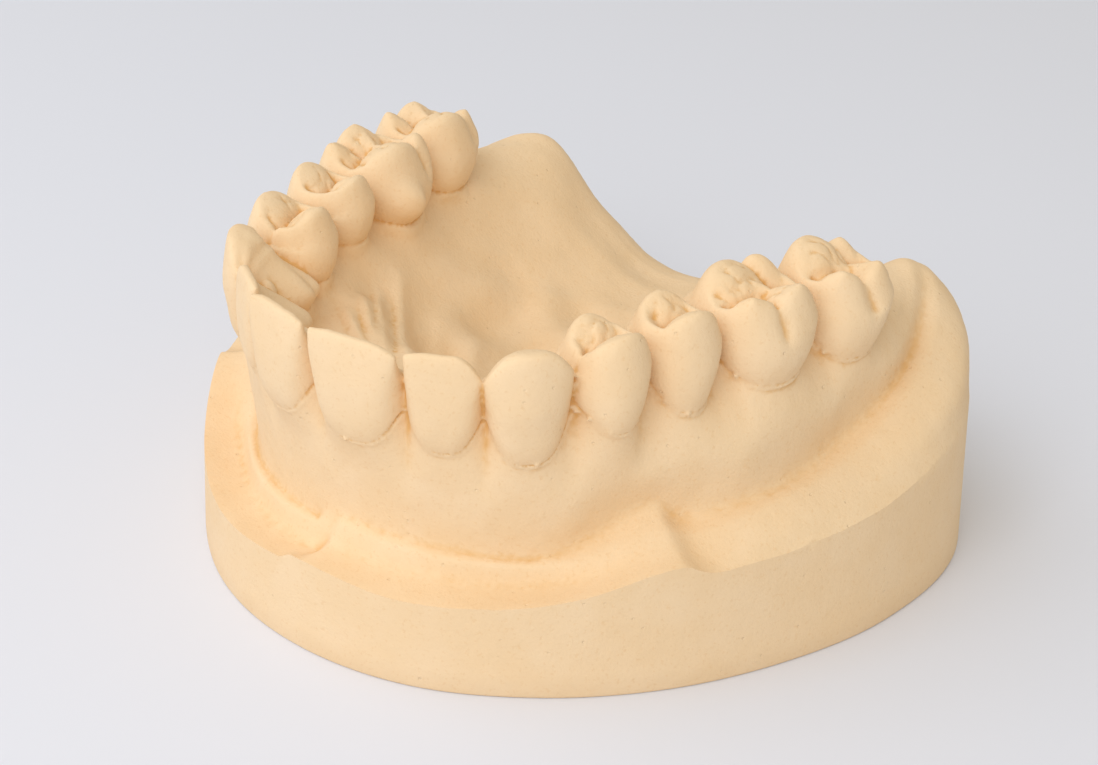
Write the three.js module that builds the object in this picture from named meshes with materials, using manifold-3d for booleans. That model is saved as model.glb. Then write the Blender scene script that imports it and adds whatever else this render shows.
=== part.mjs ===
// Dental stone cast of an upper dental arch, standing teeth up on its art base.
// Millimetres. +Z up, -Y towards the front teeth, +X to the right seen from the front.
// Origin: centre of the flat underside.
//
// The cast is two pours of stone: the anatomic portion (teeth, gums, palate and the land around
// them), and the art base under it. Round nodules below the first pour key into the second.
import * as THREE from 'three';
import { mergeVertices } from 'three/addons/utils/BufferGeometryUtils.js';
import Module from 'manifold-3d';

const wasm = await Module();
wasm.setup();

// ---------------------------------------------------------------- driving dimensions

// The cast is described by sections through the vertical axis, one every SECTION_STEP degrees
// from the front midline (0) round to the back midline (180), the same on both sides.
const SECTION_STEP = 20;
const OUTLINE_RADIUS = [33.75, 33.65, 33.2, 33.6, 35.1, 38.2, 41.5, 41.2, 35.9, 33.75];
// Behind the heels the sections are read a little further round, so that the heels end sooner.
const HEEL_SHIFT = 2.3;
const HEEL_ANGLE = 148;
const HEEL_SPREAD = 6.5;
const WALL_DRAFT = Math.tan(THREE.MathUtils.degToRad(2));

// Lines that run round the cast, from the palate out to the rim: [radius, height] tables.
const PALATE_CENTRE_HEIGHT = 14.0;
const LINES = [
  {
    name: 'vault floor',
    radius: [10.7, 10.0, 9.5, 8.0, 8.0, 8.5, 10.5, 12.5, 13.0, 12.5],
    height: [17.5, 17.0, 16.5, 15.5, 15.0, 14.8, 14.6, 14.4, 13.8, 13.5],
  },
  {
    name: 'palate slope',
    radius: [17.7, 17.5, 16.5, 14.5, 13.8, 14.8, 18.0, 21.0, 19.5, 18.5],
    height: [22.5, 22.0, 21.5, 20.5, 19.5, 19.5, 19.5, 18.0, 14.5, 13.6],
  },
  {
    name: 'palatal gum line',
    radius: [23.5, 23.6, 22.0, 20.0, 19.2, 20.3, 24.8, 27.5, 24.5, 23.5],
    height: [25.0, 25.0, 24.4, 25.0, 25.5, 25.3, 25.0, 22.0, 15.0, 13.8],
  },
  {
    name: 'ridge crest',
    radius: [27.0, 26.8, 25.6, 23.5, 23.2, 25.0, 30.3, 31.5, 27.3, 26.5],
    height: [26.0, 26.2, 26.2, 26.6, 26.8, 26.6, 25.8, 24.0, 14.5, 13.9],
  },
  {
    name: 'outer gum line',
    radius: [29.3, 29.4, 28.3, 27.4, 28.0, 29.8, 33.3, 33.8, 29.3, 28.5],
    height: [22.6, 22.6, 22.2, 24.0, 24.6, 24.6, 24.1, 24.8, 14.6, 13.8],
  },
  {
    name: 'root surface',
    radius: [28.7, 28.4, 28.2, 27.2, 28.9, 30.6, 34.3, 35.5, 31.0, 30.0],
    height: [17.5, 17.0, 17.0, 19.0, 20.0, 21.0, 22.3, 25.3, 14.4, 13.6],
  },
  {
    name: 'sulcus',
    radius: [28.2, 27.9, 27.6, 26.5, 29.2, 30.7, 34.9, 36.8, 32.4, 31.2],
    height: [12.5, 12.0, 11.7, 13.8, 15.0, 16.5, 20.3, 24.9, 13.9, 13.2],
  },
  {
    name: 'inner land',
    radius: [29.0, 29.0, 28.6, 29.0, 31.2, 33.2, 37.0, 38.2, 33.4, 32.1],
    height: [11.3, 11.0, 10.8, 12.3, 14.4, 15.9, 20.6, 23.9, 13.3, 12.6],
  },
  {
    name: 'outer land',
    radius: [30.3, 30.0, 29.6, 31.0, 33.2, 35.8, 40.1, 40.2, 34.6, 32.9],
    height: [9.6, 9.2, 9.3, 11.4, 13.2, 14.8, 18.9, 20.7, 12.3, 11.6],
  },
];
const RIM_HEIGHT = [9.4, 8.7, 9.4, 11.4, 11.7, 13.0, 15.2, 14.5, 11.0, 10.3];

// Frena: places where the land and the rim rise or sink, with a spread before and after the middle.
// Angles are in degrees, positive towards +X.
const RIM_SWELLS = [
  { angle: 62.3, before: 11, after: 2.8, rise: 1.25 },
  { angle: 68.3, before: 3, after: 5, rise: -0.25 },
  { angle: -62.3, before: 2.8, after: 11, rise: 1.25 },
  { angle: -68.3, before: 5, after: 3, rise: -0.25 },
];
const RIM_SWELL_SHARE = 0.75;

// The scoop in the land of the left front. It starts softly and ends at a clear edge, which lies
// at another angle on each line of the land.
const SCOOP_DEPTH = 1.3;
const SCOOP_START = { from: -66, to: -44 };
const SCOOP_EDGES = { 'sulcus': -2.5, 'inner land': 2.8, 'outer land': 2.0, 'rim': -1.0 };
const SCOOP_EDGE_WIDTH = 4.5;
const SCOOP_RIM_SHARE = 0.65;

// Teeth of one side. at: middle of the crown at the gum. facing: direction of the outer surface,
// in degrees from the front. width: along the arch. depth: across it. neck: height of the gum.
// A tooth has either cusps, as [along, across, drop below the top], or an incisal edge, whose
// ends drop by peak. left: what differs on the left side, because the arch isn't quite even.
const TEETH = [
  {
    name: 'central incisor',
    at: [3.35, -27.2],
    facing: 11,
    width: 8.9,
    depth: 6.8,
    neck: 21.4,
    top: 31.4,
    peak: 0,
    left: { at: [5.0, -27.1], width: 8.3 },
  },
  {
    name: 'lateral incisor',
    at: [10.4, -24.65],
    facing: 30,
    width: 6.7,
    depth: 6.3,
    neck: 21.8,
    top: 31.2,
    peak: 0,
    left: { at: [11.3, -24.4], width: 6.5 },
  },
  {
    name: 'canine',
    at: [15.5, -20.5],
    facing: 48,
    width: 7.6,
    depth: 8.2,
    neck: 21.3,
    top: 32.4,
    peak: 1.4,
    left: { at: [16.0, -20.3] },
  },
  {
    name: 'first premolar',
    at: [19.25, -14.45],
    facing: 75.5,
    width: 7.15,
    depth: 9.6,
    neck: 23.8,
    top: 32.3,
    cusps: [[0.1, 3.0, 0], [0, -3.0, 0.35]],
  },
  {
    name: 'second premolar',
    at: [21.35, -7.35],
    facing: 75.2,
    width: 7.3,
    depth: 9.5,
    neck: 23.8,
    top: 32.6,
    cusps: [[0, 3.0, 0], [0.2, -3.1, 0.25]],
  },
  {
    name: 'first molar',
    at: [23.6, 1.2],
    facing: 74.3,
    width: 10.3,
    depth: 11.9,
    neck: 24.5,
    top: 33.2,
    cusps: [[-3.1, 3.8, 0.6], [1.9, 3.8, 0.4], [-1.4, -3.3, 0], [2.9, -4.0, 0]],
  },
  {
    name: 'second molar',
    at: [25.65, 11.0],
    facing: 78.5,
    width: 9.3,
    depth: 11.5,
    neck: 24.2,
    top: 33.1,
    cusps: [[-2.8, 3.6, 0.8], [2.1, 3.2, 1.1], [-1.2, -3.1, 0], [3.2, -3.2, 0.95]],
  },
];
const FOSSA_DEPTH = 2.3;
const CUSP_SPREAD = 2.1;
const EDGE_THICKNESS = 0.9;
const CROWN_SQUARENESS = 0.05;
const NECK_SHARE = 0.8;
const NECK_FROM = -0.2;
const NECK_TO = 0.6;
const EDGE_TAPER_POWER = 0.9;
const RELIEF_POWER = 4;
const ROOT_DRIFT = 5.0;

// The joint between the two pours.
const JOINT_GAP = 0.3;
const JOINT_BELOW_RIM = 1.0;
const JOINT_FLOOR_HEIGHT = 5.5;
const JOINT_SLOPE_WIDTH = 6.0;
const NODULE_RADIUS = 3.2;
const NODULE_DROP = 2.4;
const NODULE_ANGLES = [-125, -85, -45, 0, 45, 85, 125];
const NODULE_RING_RADIUS = 22.0;

// Facets.
const SEGMENTS = 64;
const STEPS_PER_LINE = 2;
const CROWN_SEGMENTS = 18;
const NODULE_SEGMENTS = 16;
const NODULE_RINGS = 10;
const JOINT_INSETS = [0, 2, 4, JOINT_SLOPE_WIDTH];
const MERGE_DISTANCE = 1e-3;

// ---------------------------------------------------------------- section lookup

// Smooth value of a section table at an angle in radians; the tables mirror about both midlines.
function atAngle(table, angle) {
  const away = Math.abs(THREE.MathUtils.euclideanModulo(angle + Math.PI, 2 * Math.PI) - Math.PI);
  const turn = THREE.MathUtils.radToDeg(away);
  const shift = HEEL_SHIFT * Math.exp(-(((turn - HEEL_ANGLE) / HEEL_SPREAD) ** 2));
  const place = (turn + shift) / SECTION_STEP;
  const last = table.length - 1;
  const index = Math.min(Math.floor(place), last - 1);
  const t = place - index;
  const before = table[Math.abs(index - 1)];
  const after = table[index + 2 > last ? 2 * last - index - 2 : index + 2];
  const start = table[index];
  const end = table[index + 1];
  const slopeIn = (end - before) / 2;
  const slopeOut = (after - start) / 2;
  const t2 = t * t;
  const t3 = t2 * t;
  const ends = (2 * t3 - 3 * t2 + 1) * start + (3 * t2 - 2 * t3) * end;
  return ends + (t3 - 2 * t2 + t) * slopeIn + (t3 - t2) * slopeOut;
}

// Degrees from a centre in degrees to an angle in radians, from -180 to 180.
function degreesFrom(angle, centre) {
  return THREE.MathUtils.euclideanModulo(THREE.MathUtils.radToDeg(angle) - centre + 180, 360) - 180;
}

function swellAt(angle) {
  let total = 0;
  for (const swell of RIM_SWELLS) {
    const away = degreesFrom(angle, swell.angle);
    const spread = away < 0 ? swell.before : swell.after;
    total += swell.rise * Math.exp(-((away / spread) ** 2));
  }
  return total;
}

// How deep the scoop is at an angle, on a line of the land or on the rim.
function scoopAt(angle, lineName) {
  const away = degreesFrom(angle, 0);
  const end = SCOOP_EDGES[lineName];
  const fall = THREE.MathUtils.smoothstep(away, SCOOP_START.from, SCOOP_START.to);
  const climb = THREE.MathUtils.smoothstep(away, end - SCOOP_EDGE_WIDTH, end);
  return SCOOP_DEPTH * fall * (1 - climb);
}

function rimHeight(angle) {
  const swell = RIM_SWELL_SHARE * swellAt(angle);
  return atAngle(RIM_HEIGHT, angle) + swell - SCOOP_RIM_SHARE * scoopAt(angle, 'rim');
}

function wallRadius(angle, height) {
  return atAngle(OUTLINE_RADIUS, angle) - height * WALL_DRAFT;
}

// One section of the top surface, from the middle of the palate out to the rim.
function topSection(angle) {
  const points = [new THREE.Vector3(0, 0, PALATE_CENTRE_HEIGHT)];
  LINES.forEach((line) => {
    const isLand = line.name in SCOOP_EDGES;
    const lift = isLand ? swellAt(angle) - scoopAt(angle, line.name) : 0;
    points.push(new THREE.Vector3(atAngle(line.radius, angle), 0, atAngle(line.height, angle) + lift));
  });
  const rim = rimHeight(angle);
  points.push(new THREE.Vector3(wallRadius(angle, rim), 0, rim));
  return new THREE.CatmullRomCurve3(points, false, 'centripetal');
}

// Height of the joint between the pours: a flat floor that climbs to just below the rim.
function jointHeight(angle, inset) {
  const edge = rimHeight(angle) - JOINT_BELOW_RIM;
  const climb = 1 - THREE.MathUtils.smoothstep(inset, 0, JOINT_SLOPE_WIDTH);
  return THREE.MathUtils.lerp(JOINT_FLOOR_HEIGHT, edge, climb);
}

// ---------------------------------------------------------------- solids

// A closed body of rings about the vertical axis: place(ring, angle) gives each vertex.
// The first and the last ring are single points.
function ringBody(rings, segments, place) {
  const profile = [];
  for (let ring = 0; ring < rings; ring += 1) {
    const polar = (Math.PI * ring) / (rings - 1);
    profile.push(new THREE.Vector2(Math.sin(polar), -Math.cos(polar)));
  }
  const geometry = new THREE.LatheGeometry(profile, segments);
  const position = geometry.getAttribute('position');
  for (let segment = 0; segment <= segments; segment += 1) {
    const angle = (2 * Math.PI * (segment % segments)) / segments;
    for (let ring = 0; ring < rings; ring += 1) {
      const point = place(ring, angle);
      position.setXYZ(segment * rings + ring, point.x, point.y, point.z);
    }
  }
  return geometry;
}

function polarPoint(radius, angle, height) {
  return new THREE.Vector3(radius * Math.sin(angle), -radius * Math.cos(angle), height);
}

function toSolid(geometry) {
  geometry.deleteAttribute('normal');
  geometry.deleteAttribute('uv');
  const merged = mergeVertices(geometry, MERGE_DISTANCE);
  const index = merged.getIndex().array;
  const triangles = [];
  for (let i = 0; i < index.length; i += 3) {
    const [a, b, c] = [index[i], index[i + 1], index[i + 2]];
    if (a !== b && b !== c && c !== a) {
      triangles.push(a, b, c);
    }
  }
  return new wasm.Manifold(new wasm.Mesh({
    numProp: 3,
    vertProperties: new Float32Array(merged.getAttribute('position').array),
    triVerts: new Uint32Array(triangles),
  }));
}

function toGeometry(solid) {
  const mesh = solid.getMesh();
  const geometry = new THREE.BufferGeometry();
  geometry.setAttribute('position', new THREE.BufferAttribute(mesh.vertProperties, 3));
  geometry.setIndex(new THREE.BufferAttribute(mesh.triVerts, 1));
  geometry.computeVertexNormals();
  return geometry;
}

// Gums, palate and land, closed underneath by the joint surface.
function gumBody() {
  const topRings = (LINES.length + 1) * STEPS_PER_LINE + 1;
  const jointRings = JOINT_INSETS.length;
  const rings = jointRings + 1 + topRings;
  const sections = new Map();
  return ringBody(rings, SEGMENTS, (ring, angle) => {
    if (ring === 0) {
      return polarPoint(0, angle, JOINT_FLOOR_HEIGHT);
    }
    if (ring <= jointRings) {
      const inset = JOINT_INSETS[jointRings - ring];
      const height = jointHeight(angle, inset);
      return polarPoint(wallRadius(angle, height) - inset, angle, height);
    }
    if (!sections.has(angle)) {
      sections.set(angle, topSection(angle));
    }
    const step = rings - 1 - ring;
    const point = sections.get(angle).getPoint(step / (topRings - 1));
    return polarPoint(point.x, angle, point.z);
  });
}

// Second pour: flat underside, drafted wall, and the joint surface a gap lower than the first's.
function baseBody() {
  const rings = JOINT_INSETS.length + 3;
  return ringBody(rings, SEGMENTS, (ring, angle) => {
    if (ring === 0) {
      return polarPoint(0, angle, 0);
    }
    if (ring === 1) {
      return polarPoint(wallRadius(angle, 0), angle, 0);
    }
    if (ring === rings - 1) {
      return polarPoint(0, angle, JOINT_FLOOR_HEIGHT - JOINT_GAP);
    }
    const inset = JOINT_INSETS[ring - 2];
    const height = jointHeight(angle, inset) - JOINT_GAP;
    return polarPoint(wallRadius(angle, height) - inset, angle, height);
  });
}

// Outline of a crown from its root end up and over: [share of the half width, share of the height].
const CROWN_PROFILE = [
  [0, -0.3], [0.55, -0.28], [0.86, 0.0], [0.96, 0.22], [1.0, 0.5], [0.95, 0.78],
  [0.8, 0.94], [0.52, 1.0], [0.25, 1.0], [0, 1.0],
];

function cuspRelief(tooth, along, across) {
  let best = -FOSSA_DEPTH;
  for (const [cuspAlong, cuspAcross, drop] of tooth.cusps) {
    const distance = Math.hypot(along - cuspAlong, across - cuspAcross);
    best = Math.max(best, -drop - FOSSA_DEPTH * (1 - Math.exp(-((distance / CUSP_SPREAD) ** 2))));
  }
  return best;
}

function crownPoint(tooth, share, rise, angle) {
  const round = 1 + CROWN_SQUARENESS * (1 - Math.cos(4 * angle));
  let along = share * round * Math.cos(angle) * (tooth.width / 2);
  let across = share * round * Math.sin(angle) * (tooth.depth / 2);
  const upper = THREE.MathUtils.clamp(rise, 0, 1);
  let height = THREE.MathUtils.lerp(tooth.neck, tooth.top, rise);
  if (tooth.cusps) {
    height += cuspRelief(tooth, along, across) * upper ** RELIEF_POWER;
  } else {
    const thin = THREE.MathUtils.lerp(1, EDGE_THICKNESS / tooth.depth, upper ** EDGE_TAPER_POWER);
    across = across * thin + upper * (tooth.depth / 2 - EDGE_THICKNESS / 2);
    height -= tooth.peak * (Math.abs(along) / (tooth.width / 2)) * upper;
  }
  along *= THREE.MathUtils.lerp(NECK_SHARE, 1, THREE.MathUtils.smoothstep(rise, NECK_FROM, NECK_TO));
  across += ROOT_DRIFT * Math.min(rise, 0);
  return new THREE.Vector3(along, across, height);
}

function crown(oneSide, side) {
  const tooth = side > 0 ? oneSide : { ...oneSide, ...oneSide.left };
  const facing = THREE.MathUtils.degToRad(tooth.facing);
  return ringBody(CROWN_PROFILE.length, CROWN_SEGMENTS, (ring, angle) => {
    const [share, rise] = CROWN_PROFILE[ring];
    const local = crownPoint(tooth, share, rise, -side * angle);
    const x = tooth.at[0] + local.x * Math.cos(facing) + local.y * Math.sin(facing);
    const y = tooth.at[1] + local.x * Math.sin(facing) - local.y * Math.cos(facing);
    return new THREE.Vector3(side * x, y, local.z);
  });
}

function nodule(angle, grow) {
  const geometry = new THREE.SphereGeometry(NODULE_RADIUS + grow, NODULE_SEGMENTS, NODULE_RINGS);
  const centre = polarPoint(NODULE_RING_RADIUS, angle, JOINT_FLOOR_HEIGHT - NODULE_DROP + NODULE_RADIUS);
  geometry.translate(centre.x, centre.y, centre.z);
  return geometry;
}

function anatomicPortion() {
  let solid = toSolid(gumBody());
  for (const tooth of TEETH) {
    solid = solid.add(toSolid(crown(tooth, 1))).add(toSolid(crown(tooth, -1)));
  }
  for (const degrees of NODULE_ANGLES) {
    solid = solid.add(toSolid(nodule(THREE.MathUtils.degToRad(degrees), 0)));
  }
  return toGeometry(solid);
}

function artBase() {
  let solid = toSolid(baseBody());
  for (const degrees of NODULE_ANGLES) {
    solid = solid.subtract(toSolid(nodule(THREE.MathUtils.degToRad(degrees), JOINT_GAP)));
  }
  return toGeometry(solid);
}

// ---------------------------------------------------------------- the cast

const stone = new THREE.MeshStandardMaterial({ color: 0xe9cb9a, roughness: 0.75, metalness: 0 });
const baseStone = new THREE.MeshStandardMaterial({ color: 0xe6c793, roughness: 0.8, metalness: 0 });

const anatomic = new THREE.Mesh(anatomicPortion(), stone);
anatomic.name = 'anatomic_portion';

const base = new THREE.Mesh(artBase(), baseStone);
base.name = 'art_base';

const cast = new THREE.Group();
cast.add(anatomic, base);

export default cast;
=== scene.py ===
"""Upper dental stone cast on a pale table.

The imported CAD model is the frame. Two pieces of fine stone surface stand for its two nodes.
Shapes are worked out in millimetres, in the frame of the CAD model, and scaled to metres.
Angles run round the vertical axis from the front midline, positive towards +X.
"""
import math

import bmesh
import bpy
import numpy as np
from mathutils import Matrix, Vector
from mathutils.kdtree import KDTree


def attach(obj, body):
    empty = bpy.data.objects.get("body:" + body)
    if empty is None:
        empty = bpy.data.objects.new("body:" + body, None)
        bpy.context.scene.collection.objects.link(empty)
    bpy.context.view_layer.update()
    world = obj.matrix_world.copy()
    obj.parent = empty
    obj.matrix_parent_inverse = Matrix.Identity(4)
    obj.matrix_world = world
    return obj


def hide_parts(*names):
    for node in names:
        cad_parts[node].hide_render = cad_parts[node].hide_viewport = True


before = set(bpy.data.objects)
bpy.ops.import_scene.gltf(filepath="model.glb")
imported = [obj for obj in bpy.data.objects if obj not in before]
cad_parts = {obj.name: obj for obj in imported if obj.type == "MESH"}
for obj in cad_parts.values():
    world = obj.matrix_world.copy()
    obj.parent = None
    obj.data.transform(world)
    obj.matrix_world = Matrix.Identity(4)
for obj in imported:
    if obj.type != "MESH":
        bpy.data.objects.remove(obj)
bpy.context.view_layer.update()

MM = 0.001

# ---------------------------------------------------------------- sections of the cast

SECTION_STEP = 20.0
OUTLINE_RADIUS = [33.75, 33.65, 33.2, 33.6, 35.1, 38.2, 41.5, 41.2, 35.9, 33.75]
HEEL_SHIFT = 2.3
HEEL_ANGLE = 148.0
HEEL_SPREAD = 6.5
WALL_DRAFT = math.tan(math.radians(2.0))
PALATE_CENTRE_HEIGHT = 14.0

# Lines round the cast from the palate out to the rim: name, radius, height at every section.
LINES = [
    ("vault floor",
     [10.7, 10.0, 9.5, 8.0, 8.0, 8.5, 10.5, 12.5, 13.0, 12.5],
     [17.5, 17.0, 16.5, 15.5, 15.0, 14.8, 14.6, 14.4, 13.8, 13.5]),
    ("palate slope",
     [17.7, 17.5, 16.5, 14.5, 13.8, 14.8, 18.0, 21.0, 19.5, 18.5],
     [22.5, 22.0, 21.5, 20.5, 19.5, 19.5, 19.5, 18.0, 14.5, 13.6]),
    ("palatal gum line",
     [23.5, 23.6, 22.0, 20.0, 19.2, 20.3, 24.8, 27.5, 24.5, 23.5],
     [25.0, 25.0, 24.4, 25.0, 25.5, 25.3, 25.0, 22.0, 15.0, 13.8]),
    ("ridge crest",
     [27.0, 26.8, 25.6, 23.5, 23.2, 25.0, 30.3, 31.5, 27.3, 26.5],
     [25.4, 25.4, 25.8, 26.2, 26.4, 26.4, 25.6, 24.0, 14.5, 13.9]),
    ("outer gum line",
     [29.3, 29.2, 28.4, 27.6, 28.0, 30.2, 33.3, 33.8, 29.3, 28.5],
     [22.6, 22.6, 22.2, 24.2, 24.6, 24.6, 24.1, 24.8, 14.6, 13.8]),
    ("root surface",
     [28.7, 28.4, 28.2, 27.2, 28.9, 30.6, 34.3, 35.5, 31.0, 30.0],
     [17.5, 17.0, 17.0, 19.0, 20.0, 21.0, 22.3, 25.3, 14.4, 13.6]),
    ("sulcus",
     [28.2, 27.9, 27.6, 26.5, 29.2, 30.7, 34.9, 36.8, 32.4, 31.2],
     [12.5, 12.0, 11.7, 13.8, 15.0, 16.5, 20.3, 24.9, 13.9, 13.2]),
    ("inner land",
     [29.0, 29.0, 28.6, 29.0, 31.2, 33.2, 37.0, 38.2, 33.4, 32.1],
     [11.3, 11.0, 10.8, 12.3, 14.4, 15.9, 20.6, 23.9, 13.3, 12.6]),
    ("outer land",
     [30.3, 30.0, 29.6, 31.0, 33.2, 35.8, 40.1, 40.2, 34.6, 32.9],
     [9.6, 9.2, 9.3, 11.4, 13.2, 14.8, 18.9, 20.7, 12.3, 11.6]),
]
LAND_LINES = ("sulcus", "inner land", "outer land")
RIM_HEIGHT = [9.4, 8.7, 9.4, 11.4, 11.7, 13.0, 15.2, 14.5, 11.0, 10.3]

# Frena and troughs: angle, spread before and after it, rise.
RIM_SWELLS = [(62.3, 11.0, 2.8, 1.25), (68.3, 3.0, 5.0, -0.25),
              (-62.3, 2.8, 11.0, 1.25), (-68.3, 5.0, 3.0, -0.25)]
RIM_SWELL_SHARE = 0.75

# The scoop on the left front. Its crisp end lies furthest round in the middle of the land.
SCOOP_DEPTH = 1.3
SCOOP_START = (-66.0, -44.0)
SCOOP_EDGES = {"sulcus": -1.5, "inner land": 2.8, "outer land": 2.2, "rim": -0.8}
SCOOP_EDGE_WIDTH = 3.2
SCOOP_RIM_SHARE = 0.65

JOINT_GAP = 0.3
JOINT_BELOW_RIM = 1.0
JOINT_FLOOR_HEIGHT = 5.5
JOINT_SLOPE_WIDTH = 6.0
NODULE_RADIUS = 3.2
NODULE_DROP = 2.4
NODULE_ANGLES = [-125, -85, -45, 0, 45, 85, 125]
NODULE_RING_RADIUS = 22.0
NODULE_AROUND = 48


def smoothstep(low, high, value):
    t = np.clip((value - low) / (high - low), 0.0, 1.0)
    return t * t * (3.0 - 2.0 * t)


def hermite(before, start, end, after, t):
    """Smooth curve from start to end, with slopes taken from the neighbours."""
    slope_in, slope_out = (end - before) / 2.0, (after - start) / 2.0
    ends = (2 * t**3 - 3 * t**2 + 1) * start + (3 * t**2 - 2 * t**3) * end
    return ends + (t**3 - 2 * t**2 + t) * slope_in + (t**3 - t**2) * slope_out


def at_angle(table, degrees):
    """Smooth value of a section table at angles in degrees, mirrored about both midlines."""
    table = np.asarray(table, float)
    turn = np.abs((np.asarray(degrees, float) + 180.0) % 360.0 - 180.0)
    turn = turn + HEEL_SHIFT * np.exp(-(((turn - HEEL_ANGLE) / HEEL_SPREAD) ** 2))
    place = turn / SECTION_STEP
    last = len(table) - 1
    index = np.minimum(place.astype(int), last - 1)
    after = np.where(index + 2 > last, 2 * last - index - 2, index + 2)
    before = np.abs(index - 1)
    return hermite(table[before], table[index], table[index + 1], table[after], place - index)


def along_lines(points, steps):
    """Smooth curve through points stacked on the first axis, with the same steps between each two."""
    padded = np.concatenate([2 * points[:1] - points[1:2], points, 2 * points[-1:] - points[-2:-1]])
    place = np.linspace(0.0, len(points) - 1.0, steps * (len(points) - 1) + 1)
    index = np.minimum(place.astype(int), len(points) - 2)
    t = (place - index).reshape((-1,) + (1,) * (points.ndim - 1))
    return hermite(padded[index], padded[index + 1], padded[index + 2], padded[index + 3], t)


def angle_between(degrees, centre):
    return (degrees - centre + 180.0) % 360.0 - 180.0


def swell_at(degrees):
    total = 0.0
    for centre, before, after, rise in RIM_SWELLS:
        away = angle_between(degrees, centre)
        total = total + rise * np.exp(-((away / np.where(away < 0, before, after)) ** 2))
    return total


def scoop_at(degrees, line):
    """Depth of the scoop at angles on a line of the land."""
    away = angle_between(degrees, 0.0)
    edge = SCOOP_EDGES[line]
    inside = 1.0 - smoothstep(edge - SCOOP_EDGE_WIDTH, edge, away)
    return SCOOP_DEPTH * smoothstep(*SCOOP_START, away) * inside


def rim_height(degrees):
    swell = RIM_SWELL_SHARE * swell_at(degrees)
    return at_angle(RIM_HEIGHT, degrees) + swell - SCOOP_RIM_SHARE * scoop_at(degrees, "rim")


def wall_radius(degrees, height):
    return at_angle(OUTLINE_RADIUS, degrees) - height * WALL_DRAFT


def joint_height(degrees, inset):
    edge = rim_height(degrees) - JOINT_BELOW_RIM
    climb = 1.0 - smoothstep(0.0, JOINT_SLOPE_WIDTH, inset)
    return JOINT_FLOOR_HEIGHT + (edge - JOINT_FLOOR_HEIGHT) * climb


def polar(radius, degrees, height):
    angle = np.radians(degrees)
    radius, angle, height = np.broadcast_arrays(radius, angle, height)
    return np.stack([radius * np.sin(angle), -radius * np.cos(angle), height], axis=-1)


# ---------------------------------------------------------------- teeth

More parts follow.
